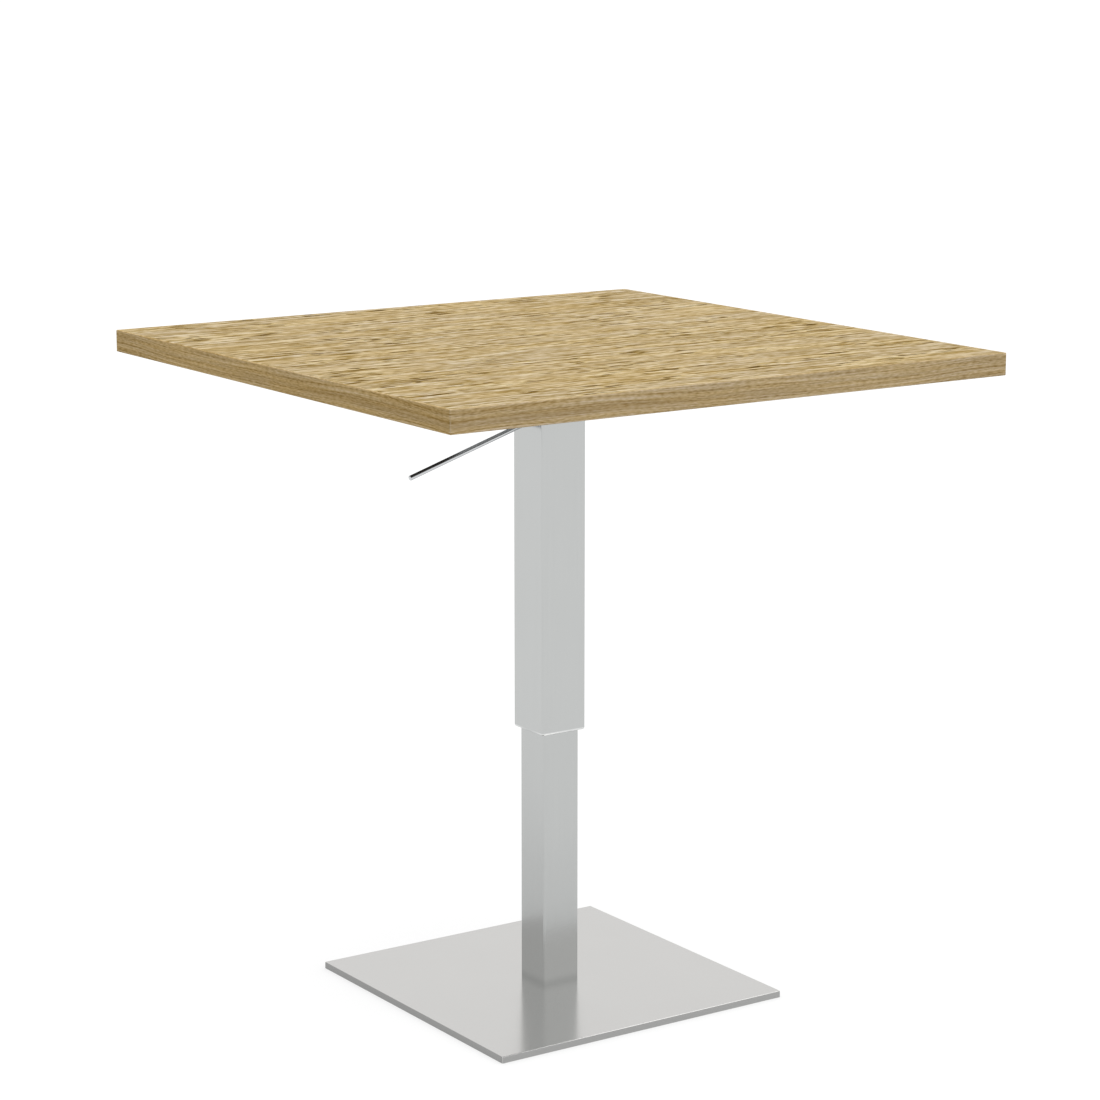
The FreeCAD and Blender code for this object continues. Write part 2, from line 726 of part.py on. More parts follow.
def make_pivot_pin():
    body = at_pivot("pivot_pin")
    section = new_sketch(body, "XY_Plane")
    shank, head = "size.pivot_diameter / 2", "size.pivot_head_diameter / 2"
    head_seat = "-size.head_width / 2 - size.seat_clearance"
    head_end = f"{head_seat} - size.pivot_head_height"
    neck = f"{shank} - size.clip_groove_depth"
    groove_end = "level.clip_seat + size.clip_thickness + 2 * size.thread_clearance"
    tip = "level.clip_seat + size.pivot_end"
    pin_outline = [
        ("0", head_end), (head, head_end), (head, head_seat), (shank, head_seat),
        (shank, "level.clip_seat"), (neck, "level.clip_seat"), (neck, groove_end),
        (shank, groove_end), (shank, tip), ("0", tip),
    ]
    draw_outline(section, pin_outline)
    revolve(body, section)


def make_pivot_clip():
    """Open spring clip in the groove at the pin's end."""
    body = at_pivot("pivot_clip")
    section = new_sketch(body, "XY_Plane")
    near = "size.pivot_diameter / 2 - size.clip_groove_depth + size.thread_clearance"
    far = "size.clip_diameter / 2"
    low = "level.clip_seat + size.thread_clearance"
    high = f"{low} + size.clip_thickness"
    draw_outline(section, [(near, low), (far, low), (far, high), (near, high)])
    revolve(body, section, angle="360 - size.clip_opening_angle")


def make_rocker():
    """Bar that the lever screws into. Its rounded nose stands over the release pin."""
    body = at_pivot("rocker", "size.lever_droop")
    bar = new_sketch(body, "XZ_Plane")
    half = "size.rocker_height / 2"
    bar_outline = [
        ("-size.rocker_tail", f"-{half}"), ("level.nose_arm", f"-{half}"),
        ("level.nose_arm", half), ("-size.rocker_tail", half),
    ]
    draw_outline(bar, bar_outline)
    pad(body, bar, "size.rocker_thickness", centred=True)
    nose = new_sketch(body, "XZ_Plane")
    draw_circle(nose, "2 * size.nose_radius", "level.nose_arm", "-size.nose_drop")
    pad(body, nose, "size.rocker_thickness", centred=True)
    upper, tail = value(half), value("-size.rocker_tail")

    def is_cross_edge_on_top(box):
        across = box.YLength > TOUCH and box.XLength < TOUCH and box.ZLength < TOUCH
        return across and box.ZMin > upper - TOUCH and box.XMin > tail + TOUCH

    round_edges(body, "size.rocker_nose_round", is_cross_edge_on_top)
    pivot = new_sketch(body, "XZ_Plane")
    draw_circle(pivot, "size.pivot_diameter + 2 * size.running_clearance")
    pocket(body, pivot, both_ways=True)
    socket = new_sketch(body, "YZ_Plane", z="-size.rocker_tail")
    draw_circle(socket, "size.lever_diameter + 2 * size.thread_clearance")
    pocket(body, socket, "size.rocker_tail - size.socket_floor", ahead=True)


def make_lever_rod():
    body = at_pivot("lever_rod", "90 + size.lever_droop")
    section = new_sketch(body, "XZ_Plane")
    radius = "size.lever_diameter / 2"
    start = "size.socket_floor + size.seat_clearance"
    chamfer_start = "level.lever_length - size.lever_end_chamfer"
    rod_outline = [
        ("0", start), (radius, start), (radius, chamfer_start),
        (f"{radius} - size.lever_end_chamfer", "level.lever_length"), ("0", "level.lever_length"),
    ]
    draw_outline(section, rod_outline)
    revolve(body, section)


# Top


def draw_screw_circles(sketch, diameter):
    """One corner hole and one mid-side hole of the plate's screw pattern."""
    draw_circle(sketch, diameter, "level.plate_screw_reach", "level.plate_screw_reach")
    draw_circle(sketch, diameter, "level.plate_screw_reach", "0")


def make_mount_plate():
    body = new_body("mount_plate", "level.tube_top")
    plate = new_sketch(body, "XY_Plane")
    draw_rounded(plate, "size.plate_side", "size.plate_side", "size.plate_corner_radius")
    draw_circle(plate, "size.plate_opening")
    pad(body, plate, "size.plate_thickness")
    holes = new_sketch(body, "XY_Plane")
    draw_screw_circles(holes, "size.plate_screw_diameter + 2 * size.plate_hole_clearance")
    repeat_on_corners(body, [pocket(body, holes, ahead=True)])


def make_plate_screws():
    body = new_body("plate_screws", "level.tube_top")
    shank, head = "size.plate_screw_diameter / 2", "size.plate_screw_head / 2"
    chamfer, length = "size.plate_screw_chamfer", "size.plate_screw_length"
    screw_outline = [
        ("0", "-size.plate_screw_head_height"), (f"{head} - {chamfer}", "-size.plate_screw_head_height"),
        (head, f"{chamfer} - size.plate_screw_head_height"), (head, "0"), (shank, "0"),
        (shank, f"{length} - {shank}"), ("0", length),
    ]
    reach, face = "level.plate_screw_reach", "-size.plate_screw_head_height"
    screws = []
    for across in (reach, "0"):
        screw = new_sketch(body, "XZ_Plane", x=reach, z=f"-{across}")
        draw_outline(screw, screw_outline)
        screws.append(revolve(body, screw))
        recess = new_sketch(body, "XY_Plane", x=reach, y=across, z=face)
        draw_outline(recess, cross_outline("size.cross_recess_span", "size.cross_recess_width"))
        screws.append(pocket(body, recess, "size.cross_recess_depth", ahead=True))
    repeat_on_corners(body, screws)


def make_board():
    pilot_width = "size.plate_screw_diameter + 2 * size.thread_clearance"
    pilot_depth = (
        "size.plate_screw_length - size.plate_thickness - size.veneer_thickness + size.pilot_spare_depth"
    )
    layers = (
        ("backing_sheet", "level.underside", "size.veneer_thickness", "size.veneer_thickness"),
        ("top_core", "level.core_bottom", "size.core_thickness", pilot_depth),
        ("top_veneer", "level.core_top", "size.veneer_thickness", None),
    )
    for label, rise, thickness, hole_depth in layers:
        body = new_body(label, rise)
        panel = new_sketch(body, "XY_Plane")
        draw_box(panel, "level.core_side", "level.core_side")
        pad(body, panel, thickness)
        if hole_depth:
            holes = new_sketch(body, "XY_Plane")
            draw_screw_circles(holes, pilot_width)
            repeat_on_corners(body, [pocket(body, holes, hole_depth, ahead=True)])


def make_edge_band(label, quarter_turn, length, wraps_corner):
    """A band along one edge. The bands in front and behind also cover the ends of the other two."""
    body = new_body(label)
    body.Placement = Placement(Vector(), Rotation(Vector(0, 0, 1), quarter_turn))
    body.setExpression("Placement.Base.z", "level.underside")
    strip = new_sketch(body, "XY_Plane")
    outer, inner = "-size.top_side / 2", "-level.core_side / 2"
    half = f"{length} / 2"
    draw_outline(strip, [(f"-{half}", outer), (half, outer), (half, inner), (f"-{half}", inner)])
    pad(body, strip, "level.board_thickness")
    outer_face, inner_face = value(outer), value(inner)

    def is_outside_edge(box):
        if box.YMax < outer_face + TOUCH:
            return wraps_corner or box.XLength > TOUCH
        return wraps_corner and box.YMin < inner_face - TOUCH

    round_edges(body, "size.edge_band_round", is_outside_edge)


def make_edge_bands():
    make_edge_band("edge_band_front", 0.0, "size.top_side", True)
    make_edge_band("edge_band_right", 90.0, "level.core_side", False)
    make_edge_band("edge_band_back", 180.0, "size.top_side", True)
    make_edge_band("edge_band_left", 270.0, "level.core_side", False)


make_base_plate()
make_floor_pads()
make_base_screws()
make_column_foot()
make_inner_tube()
make_upper_guide()
make_guide_screws()
make_gas_spring()
make_outer_tube()
make_lower_guide()
make_tube_bulkhead()
make_rod_nut()
make_release_head()
make_pivot_pin()
make_pivot_clip()
make_rocker()
make_lever_rod()
make_mount_plate()
make_plate_screws()
make_board()
make_edge_bands()
doc.recompute()

for item in doc.Objects:
    if "Invalid" in item.State or "Error" in item.State:
        raise RuntimeError(f"{item.Label} did not build: {item.State}")

subparts = [item for item in doc.Objects if item.TypeId == "PartDesign::Body"]
for body in subparts:
    if body.Shape.isNull() or not body.Shape.isValid():
        raise RuntimeError(f"{body.Label} has no valid shape")

os.makedirs("parts", exist_ok=True)
for body in subparts:
    body.Shape.exportStep(f"parts/{body.Label}.step")
    print(body.Label, len(body.Shape.Solids), round(body.Shape.Volume, 1))
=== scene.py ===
"""Looks of the telescoping pedestal table: a finish for every piece, soft studio light and the camera.

Metres, +Z up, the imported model's own frame. The front of the table faces -Y and its lever points to -X.
"""

import json
import math

import bpy
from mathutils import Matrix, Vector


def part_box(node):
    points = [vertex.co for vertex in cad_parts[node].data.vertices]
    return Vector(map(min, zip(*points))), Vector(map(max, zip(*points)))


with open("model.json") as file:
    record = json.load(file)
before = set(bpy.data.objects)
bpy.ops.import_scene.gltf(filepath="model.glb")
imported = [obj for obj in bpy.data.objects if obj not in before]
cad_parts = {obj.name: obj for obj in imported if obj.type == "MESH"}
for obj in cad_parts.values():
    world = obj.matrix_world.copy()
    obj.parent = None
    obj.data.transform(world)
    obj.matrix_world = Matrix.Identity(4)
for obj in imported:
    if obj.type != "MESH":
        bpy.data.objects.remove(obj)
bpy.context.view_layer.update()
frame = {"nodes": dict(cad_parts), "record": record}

# Camera: angles in degrees, sensor in millimetres, picture and focal length in the photo's pixels
CAMERA_PLACE = (-2.05687, -3.03591, 1.28092)
CAMERA_TURN = -34.1275
CAMERA_TILT = 78.5577
SENSOR_WIDTH = 36.0
PICTURE_SIDE = 1100.0
FOCAL_PIXELS = 3154.795

# Light: strengths in shares of the white that a full strength gives, angles in degrees
WHITE = (1.0, 1.0, 1.0, 1.0)
SKY_LIGHT = 0.5
SKY_LEFT = 0.92
SKY_LEFT_RANGE = (-0.6, 0.2)
SKY_BACK = 0.92
SKY_BACK_RANGE = (-0.3, 0.6)
SUN_LIGHT = 0.56
SUN_LEAN_RIGHT = 6.0
SUN_LEAN_FRONT = 13.0
SUN_SPREAD = 70.0
FLOOR_REACH = 60.0
FLOOR_BOUNCE = 0.6
FLOOR_SHADOW = 0.2
FLOOR_GLOW = 0.88
CONTACT_REACH = 0.09
CONTACT_RANGE = (0.5, 1.0)
CONTACT_SAMPLES = 4
CONTACT_GLOW = 0.77
MIRRORED_BOUNCE = 0.5
MIRRORED_GLOW = 0.55

# Noise: the range that it mostly keeps to, and its middle
NOISE_RANGE = (0.3, 0.7)
NOISE_MIDDLE = 0.5

# Sockets of the mix node, whose names aren't unique
MIX_NUMBERS = (2, 3)
MIX_COLOURS = (6, 7)
MIXED_NUMBER = 0
MIXED_COLOUR = 2

# Oak: colours from the darkest to the palest tone of the grain, and of what shows in it
FACE_TONES = (
    (0.36, (0.165, 0.092, 0.018)),
    (0.45, (0.404, 0.282, 0.100)),
    (0.50, (0.574, 0.436, 0.241)),
    (0.55, (0.698, 0.567, 0.354)),
    (0.64, (0.842, 0.729, 0.501)),
)
EDGE_TONES = (
    (0.358, (0.30, 0.185, 0.055)),
    (0.449, (0.485, 0.335, 0.135)),
    (0.50, (0.575, 0.415, 0.19)),
    (0.551, (0.65, 0.485, 0.243)),
    (0.642, (0.76, 0.60, 0.355)),
)
DARKEST_TONE = 0.36
PALEST_TONE = 0.64
GREY_TINT = (0.974, 1.0, 1.105)
GOLDEN_TINT = (1.021, 1.0, 0.928)
HALO_TINT = (0.98, 0.95, 0.78)
PORE_COLOUR = (0.262, 0.153, 0.012)
CLEFT_COLOUR = (0.092, 0.044, 0.001)
GROWTH_COLOUR = (0.32, 0.20, 0.068)
# Corner colour: partly wear, partly a painted highlight on the rounded corners
WEAR_AND_SHEEN_COLOUR = (0.70, 0.57, 0.39)
# Band tints: a painted sheen on the front band, painted shade on the side bands
FRONT_BAND_SHEEN_TINT = (0.981, 1.003, 1.142)
SIDE_BAND_SHADE_TINT = (0.974, 0.952, 0.932)
OAK_GLOSS = 0.01

# Oak face: waves per metre along and across the grain, ranges of their noise, and what comes of them
FACE_DRIFT = (1.5, 5.0)
FACE_SWAY = 0.01
FACE_BANDS = (1.0, 120.0)
FACE_STREAKS = (14.0, 190.0)
FACE_FLECKS = (70.0, 380.0)
FACE_SHARES = (0.27, 0.41, 0.32)
FACE_HUES = (4.0, 22.0)
FACE_HUE_RANGE = (0.35, 0.65)
FACE_ROUGHNESS = (0.8, 0.65)
FACE_RELIEF = 0.0003
ZONE_WAVES = (8.0, 26.0)
LIVELY_RANGE = (0.4, 0.6)
LIVELY_CONTRAST = (0.81, 1.17)
OPEN_RANGE = (0.44, 0.56)
OPEN_LEVEL = (0.493, 0.508)
PORE_WAVES = (16.0, 150.0)
PORE_RANGE = (0.59, 0.63)
PORE_SHARE = 0.5
CLEFT_WAVES = (22.0, 150.0)
CLEFT_RANGE = (0.58, 0.62)
CLEFT_SHARE = 0.95
CLEFT_ROUGHNESS = 0.2
HALO_RANGE = (0.52, 0.58)

# Oak edge: likewise, and how far the growth lines and the corners' wear and painted highlight reach
EDGE_DRIFT = (2.4, 10.0)
EDGE_SWAY = 0.018
EDGE_BANDS = (1.0, 150.0)
EDGE_LINES = (4.0, 560.0)
EDGE_FLECKS = (130.0, 700.0)
EDGE_SHARES = (0.15, 0.52, 0.33)
EDGE_HUES = (8.0, 160.0)
EDGE_ROUGHNESS = (0.75, 0.6)
EDGE_RELIEF = 0.00015
GROWTH_WAVES = (3.0, 60.0)
GROWTH_RANGE = (0.4, 0.6)
GROWTH_DROP = 0.002
GROWTH_CORE = 0.0005
GROWTH_REACH = 0.008
FRONT_BAND_GROWTH = 0.36
SIDE_BAND_GROWTH = 0.28
WEAR_AND_SHEEN_WAVES = (60.0, 60.0, 160.0)
WEAR_AND_SHEEN_RANGE = (0.42, 0.6)
WEAR_AND_SHEEN_SHARE = 0.5
WEAR_AND_SHEEN_START = 0.0015
WEAR_AND_SHEEN_FULL = 0.0003

# Core and backing of the board
CHIP_TONES = (
    (0.3, (0.30, 0.21, 0.12)),
    (0.5, (0.46, 0.34, 0.2)),
    (0.7, (0.6, 0.47, 0.3)),
)
CHIP_WAVES = (180.0, 180.0, 320.0)
CHIP_ROUGHNESS = (0.9, 0.8)
CHIP_RELIEF = 0.0004
BACKING_TONES = (
    (0.3, (0.020, 0.017, 0.014)),
    (0.7, (0.042, 0.036, 0.030)),
)
BACKING_WAVES = (12.0, 420.0, 1.0)
BACKING_ROUGHNESS = (0.5, 0.62)
BACKING_GLOSS = 0.3
BACKING_RELIEF = 0.00008

# Brushed steel: waves of its brushing per metre, and the highlight and shade painted on its edges
OUTER_COLOUR = (0.515, 0.525, 0.52)
INNER_COLOUR = (0.5, 0.51, 0.505)
BASE_COLOUR = (0.647, 0.639, 0.624)
COLUMN_ROUGHNESS = 0.19
BASE_ROUGHNESS = 0.17
STEEL_ROUGHNESS_SPREAD = 0.02
STEEL_SHADE = 0.015
BRUSH_ACROSS = 2500.0
BRUSH_ALONG = 8.0
UPRIGHT_BRUSHING = (BRUSH_ACROSS, BRUSH_ACROSS, BRUSH_ALONG)
FLAT_BRUSHING = (BRUSH_ALONG, BRUSH_ACROSS, BRUSH_ACROSS)
BRUSH_DEPTH = 0.0000005
BRUSH_SHARE = 0.7
CLOUD_WAVES = (9.0, 9.0, 9.0)
CLOUD_SHARE = 0.3
# The outer tube's lower rim: a painted highlight, strongest on the front and the back
RIM_HIGHLIGHT_COLOUR = (0.74, 0.75, 0.745)
RIM_START = 0.0034
RIM_FULL = 0.00238
RIM_HIGHLIGHT_SIDES = 0.2
# The inner tube's foot: painted shade where it meets the base plate
FOOT_PAINTED_SHADE_COLOUR = (0.435, 0.445, 0.44)
FOOT_SHADE = 0.011
# The base plate's sides: painted shade, darker on the left and the right than in front and behind
FRONT_BACK_SHADE_COLOUR = (0.405, 0.405, 0.40)
LEFT_RIGHT_SHADE_COLOUR = (0.34, 0.34, 0.335)
SIDE_SHADE_START = 0.0004
SIDE_SHADE_FULL = 0.0002

# Plated or polished metal: colour and roughness by slot, and its handling marks
POLISHED_METALS = {
    "zinc_fastener": ((0.55, 0.56, 0.58), 0.25),
    "chrome_rod": ((0.58, 0.59, 0.60), 0.05),
}
MARK_WAVES = (60.0, 60.0, 60.0)
MARK_RANGE = (0.35, 0.7)
MARK_ROUGHNESS = 0.05
MARK_SHADE = 0.02

# Turned or cast metal: colour and roughness by slot, and its grain
TURNED_METALS = {
    "plain_steel": ((0.42, 0.42, 0.43), 0.35),
    "turned_aluminium": ((0.62, 0.63, 0.64), 0.32),
    "cast_head": ((0.5, 0.51, 0.52), 0.45),
}
TURNING_WAVES = (700.0, 700.0, 1800.0)
TURNING_SHADE = 0.04
TURNING_RELIEF = 0.00002

# Paint, plastic and rubber: colour, roughness, and the waves per metre and the depth of the grain by slot
COATINGS = {
    "plate_paint": ((0.51, 0.52, 0.52), 0.5, 1500.0, 0.00003),
    "black_paint": ((0.015, 0.015, 0.016), 0.28, 900.0, 0.00001),
    "guide_plastic": ((0.024, 0.024, 0.026), 0.45, 1200.0, 0.00004),
    "black_rubber": ((0.019, 0.019, 0.019), 0.7, 1500.0, 0.00006),
}
MOTTLE_WAVES = (14.0, 14.0, 14.0)
MOTTLE_SHADE = 0.15
GRAIN_ROUGHNESS_SPREAD = 0.06


class Graph:
    """A node tree, with short calls for the nodes that the finishes and the studio share."""

    def __init__(self, tree):
        self.tree = tree

    def feed(self, socket, source):
        """Links a socket to another one, or sets it to a plain value."""
        if isinstance(source, bpy.types.NodeSocket):
            self.tree.links.new(source, socket)
        else:
            socket.default_value = source

    def add(self, kind, inputs, **settings):
        """Adds a node with its settings, and feeds its inputs."""
        node = self.tree.nodes.new(kind)
        for name, setting in settings.items():
            setattr(node, name, setting)
        for key, source in inputs.items():
            self.feed(node.inputs[key], source)
        return node

    def place(self):
        """The point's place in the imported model's frame."""
        return self.add("ShaderNodeTexCoord", {}).outputs["Object"]

    def parts(self, vector):
        """The X, Y and Z parts of a vector."""
        return self.add("ShaderNodeSeparateXYZ", {0: vector}).outputs

    def join(self, x, y):
        """A vector with these X and Y parts."""
        return self.add("ShaderNodeCombineXYZ", {0: x, 1: y}).outputs[0]

    def calc(self, operation, first, second=0.0, third=0.0):
        """One step of arithmetic."""
        inputs = {0: first, 1: second, 2: third}
        return self.add("ShaderNodeMath", inputs, operation=operation).outputs[0]

    def total(self, values, shares):
        """The sum of values, each times its share."""
        result = 0.0
        for value, share in zip(values, shares):
            result = self.calc("MULTIPLY_ADD", value, share, result)
        return result

    def noise(self, vector, x, y, z=0.0, detail=2.0, roughness=0.5):
        """Soft noise with so many waves per metre along each axis."""
        waves = self.add("ShaderNodeVectorMath", {0: vector, 1: (x, y, z)}, operation="MULTIPLY")
        inputs = {"Vector": waves.outputs[0], "Scale": 1.0, "Detail": detail, "Roughness": roughness}
        return self.add("ShaderNodeTexNoise", inputs).outputs[0]

    def remap(self, value, low, high, to_low=0.0, to_high=1.0, soft=True):
        """Takes low to to_low and high to to_high, and stays there beyond them."""
        inputs = {"Value": value, "From Min": low, "From Max": high, "To Min": to_low, "To Max": to_high}
        kind = "SMOOTHSTEP" if soft else "LINEAR"
        return self.add("ShaderNodeMapRange", inputs, interpolation_type=kind).outputs[0]

    def ramp(self, value, stops):
        """A colour for each stop of the value, with straight steps between them."""
        node = self.add("ShaderNodeValToRGB", {0: value})
        points = node.color_ramp.elements
        while len(points) < len(stops):
            points.new(1.0)
        for point, (position, colour) in zip(points, stops):
            point.position = position
            point.color = (*colour, 1.0)
        return node.outputs[0]

    def mix(self, share, first, second, blend="MIX"):
        """A colour between two, given as sockets or as plain colours."""
        node = self.add("ShaderNodeMix", {0: share}, data_type="RGBA", blend_type=blend)
        for socket, source in zip(MIX_COLOURS, (first, second)):
            is_plain = isinstance(source, tuple)
            self.feed(node.inputs[socket], (*source, 1.0) if is_plain else source)
        return node.outputs[MIXED_COLOUR]

    def mix_numbers(self, share, first, second):
        """A number between two."""
        inputs = dict(zip(MIX_NUMBERS, (first, second)))
        return self.add("ShaderNodeMix", {0: share, **inputs}).outputs[MIXED_NUMBER]

    def vary(self, noise, colour, spread):
        """The colour made a little darker or lighter by a noise."""
        darker = tuple((1.0 - spread) * part for part in colour)
        lighter = tuple((1.0 + spread) * part for part in colour)
        return self.mix(self.remap(noise, *NOISE_RANGE), darker, lighter)


class Finish(Graph):
    """A material, with calls for its shader's inputs."""

    def __init__(self, name):
        self.material = bpy.data.materials.new(name)
        self.material.use_nodes = True
        super().__init__(self.material.node_tree)
        self.shader = self.tree.nodes["Principled BSDF"]

    def set(self, **inputs):
        """Sets the shader's inputs, named with underscores for spaces."""
        for name, source in inputs.items():
            self.feed(self.shader.inputs[name.replace("_", " ")], source)

    def relief(self, height, depth):
        """Bump from a height between 0 and 1 and its depth in metres."""
        inputs = {"Height": height, "Distance": depth, "Strength": 1.0}
        self.set(Normal=self.add("ShaderNodeBump", inputs).outputs[0])


# Wood


def oak_colour(finish, tone, tones, golden):
    """The colour of a tone of the grain, from greyish to golden as the last mask says."""
    tint = finish.mix(golden, GREY_TINT, GOLDEN_TINT)
    return finish.mix(1.0, finish.ramp(tone, tones), tint, "MULTIPLY")


def oak_face():
    """Brushed oak with its grain along X.

    Bands, streaks and flecks make its tone. Some zones are livelier, and open in dark clefts with
    golden halos.
    """
    finish = Finish("oak_face")
    place = finish.place()
    x, y, _ = finish.parts(place)
    drift = finish.noise(place, *FACE_DRIFT)
    grain = finish.join(x, finish.calc("MULTIPLY_ADD", drift, FACE_SWAY, y))
    bands = finish.noise(grain, *FACE_BANDS)
    streaks = finish.noise(grain, *FACE_STREAKS, roughness=0.7)
    flecks = finish.noise(grain, *FACE_FLECKS, detail=1.0)
    zones = finish.noise(grain, *ZONE_WAVES)
    lively = finish.remap(zones, *LIVELY_RANGE, *LIVELY_CONTRAST)
    level = finish.remap(zones, *OPEN_RANGE, *OPEN_LEVEL)
    contrast = finish.calc("SUBTRACT", finish.total((bands, streaks, flecks), FACE_SHARES), NOISE_MIDDLE)
    tone = finish.calc("MULTIPLY_ADD", contrast, lively, level)
    pores = finish.remap(finish.noise(grain, *PORE_WAVES, detail=1.0), *PORE_RANGE, 0.0, PORE_SHARE)
    openings = finish.noise(grain, *CLEFT_WAVES)
    open_zones = finish.remap(zones, *OPEN_RANGE)
    clefts = finish.calc("MULTIPLY", finish.remap(openings, *CLEFT_RANGE), open_zones)
    halos = finish.calc("MULTIPLY", finish.remap(openings, *HALO_RANGE), open_zones)
    hue = finish.remap(finish.noise(grain, *FACE_HUES, detail=4.0, roughness=0.6), *FACE_HUE_RANGE)
    colour = oak_colour(finish, tone, FACE_TONES, finish.calc("MAXIMUM", hue, halos))
    colour = finish.mix(halos, colour, HALO_TINT, "MULTIPLY")
    colour = finish.mix(pores, colour, PORE_COLOUR)
    colour = finish.mix(finish.calc("MULTIPLY", clefts, CLEFT_SHARE), colour, CLEFT_COLOUR)
    rough = finish.remap(tone, DARKEST_TONE, PALEST_TONE, *FACE_ROUGHNESS)
    rough = finish.calc("MULTIPLY_ADD", clefts, CLEFT_ROUGHNESS, rough)
    finish.set(Base_Color=colour, Roughness=rough, Specular_IOR_Level=OAK_GLOSS)
    finish.relief(finish.calc("SUBTRACT", streaks, clefts), FACE_RELIEF)
    return finish.material


def oak_edge(name, along, tint, growth_depth):
    """Oak band with long fine lines along one edge of the board, darker just below its middle."""
    finish = Finish(name)
    low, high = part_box("edge_band_front")
    place = finish.place()
    sides = finish.parts(place)
    run = sides[along]
    rise = sides["Z"]
    drift = finish.noise(finish.join(run, rise), *EDGE_DRIFT)
    grain = finish.join(run, finish.calc("MULTIPLY_ADD", drift, EDGE_SWAY, rise))
    bands = finish.noise(grain, *EDGE_BANDS)
    lines = finish.noise(grain, *EDGE_LINES, roughness=0.65)
    flecks = finish.noise(grain, *EDGE_FLECKS, detail=1.0)
    tone = finish.total((bands, lines, flecks), EDGE_SHARES)
    heart_height = (low.z + high.z) / 2 - GROWTH_DROP
    off_heart = finish.calc("ABSOLUTE", finish.calc("SUBTRACT", rise, heart_height))
    heart = finish.remap(off_heart, GROWTH_CORE, GROWTH_REACH, growth_depth, 0.0)
    growth = finish.remap(finish.noise(grain, *GROWTH_WAVES, detail=3.0), *GROWTH_RANGE)
    hue = finish.remap(finish.noise(grain, *EDGE_HUES, detail=3.0), *NOISE_RANGE)
    off_x = finish.calc("ABSOLUTE", sides["X"])
    off_y = finish.calc("ABSOLUTE", sides["Y"])
    nearer = finish.calc("MINIMUM", off_x, off_y)
    # Lighter corners: partly wear, partly a painted highlight on the rounded corner
    corner = finish.remap(nearer, high.x - WEAR_AND_SHEEN_START, high.x - WEAR_AND_SHEEN_FULL)
    patches = finish.remap(finish.noise(place, *WEAR_AND_SHEEN_WAVES), *WEAR_AND_SHEEN_RANGE, 0.0, WEAR_AND_SHEEN_SHARE)
    colour = oak_colour(finish, tone, EDGE_TONES, hue)
    colour = finish.mix(finish.calc("MULTIPLY", growth, heart), colour, GROWTH_COLOUR)
    # The band's tint: a painted sheen on the front band, painted shade on the side bands
    colour = finish.mix(1.0, colour, tint, "MULTIPLY")
    colour = finish.mix(finish.calc("MULTIPLY", corner, patches), colour, WEAR_AND_SHEEN_COLOUR)
    rough = finish.remap(tone, DARKEST_TONE, PALEST_TONE, *EDGE_ROUGHNESS)
    finish.set(Base_Color=colour, Roughness=rough, Specular_IOR_Level=OAK_GLOSS)
    finish.relief(lines, EDGE_RELIEF)
    return finish.material


def board_core():
    """Pressed wood chips."""
    finish = Finish("board_core")
    chips = finish.noise(finish.place(), *CHIP_WAVES, detail=4.0)
    colour = finish.ramp(chips, CHIP_TONES)
    rough = finish.remap(chips, *NOISE_RANGE, *CHIP_ROUGHNESS)
    finish.set(Base_Color=colour, Roughness=rough)
    finish.relief(chips, CHIP_RELIEF)
    return finish.material


def backing():
    """Dark balancing sheet with a faint grain."""
    finish = Finish("backing")
    grain = finish.noise(finish.place(), *BACKING_WAVES, detail=3.0)
    rough = finish.remap(grain, *NOISE_RANGE, *BACKING_ROUGHNESS)
    colour = finish.ramp(grain, BACKING_TONES)
    finish.set(Base_Color=colour, Roughness=rough, Specular_IOR_Level=BACKING_GLOSS)
    finish.relief(grain, BACKING_RELIEF)
    return finish.material


# Metal, plastic and rubber


def brushed_steel(name, colour, roughness, lines, painted_light):
    """Steel with fine brushing.

    lines gives the waves per metre along X, Y and Z, and the last argument the mask and the colour of the
    light or shade painted on an edge.
    """
    finish = Finish(name)
    place = finish.place()
    brushing = finish.noise(place, *lines)
    cloud = finish.noise(place, *CLOUD_WAVES)
    shade = finish.total((brushing, cloud), (BRUSH_SHARE, CLOUD_SHARE))
    # The painted highlight or shade on the piece's edge
    edge, painted_colour = painted_light(finish, place)
    tint = finish.mix(edge, finish.vary(shade, colour, STEEL_SHADE), painted_colour)
    roughest = roughness + STEEL_ROUGHNESS_SPREAD
    smoothest = roughness - STEEL_ROUGHNESS_SPREAD
    rough = finish.remap(shade, *NOISE_RANGE, roughest, smoothest)
    finish.set(Base_Color=tint, Metallic=1.0, Roughness=rough)
    finish.relief(brushing, BRUSH_DEPTH)
    return finish.material


def painted_rim_highlight(finish, place):
    """The outer tube's lower rim, lightened by a painted highlight, weaker in the middle of its left and
    right sides.
    """
    low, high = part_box("outer_tube")
    _, y, z = finish.parts(place)
    rim = finish.remap(z, low.z + RIM_START, low.z + RIM_FULL)
    highlight_sides = finish.remap(finish.calc("ABSOLUTE", y), 0.0, high.y, RIM_HIGHLIGHT_SIDES, 1.0)
    return finish.calc("MULTIPLY", rim, highlight_sides), RIM_HIGHLIGHT_COLOUR


def painted_foot_shade(finish, place):
    """The inner tube's foot, darkened with painted shade where it meets the base plate."""
    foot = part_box("inner_tube")[0].z
    return finish.remap(finish.parts(place)["Z"], foot + FOOT_SHADE, foot), FOOT_PAINTED_SHADE_COLOUR


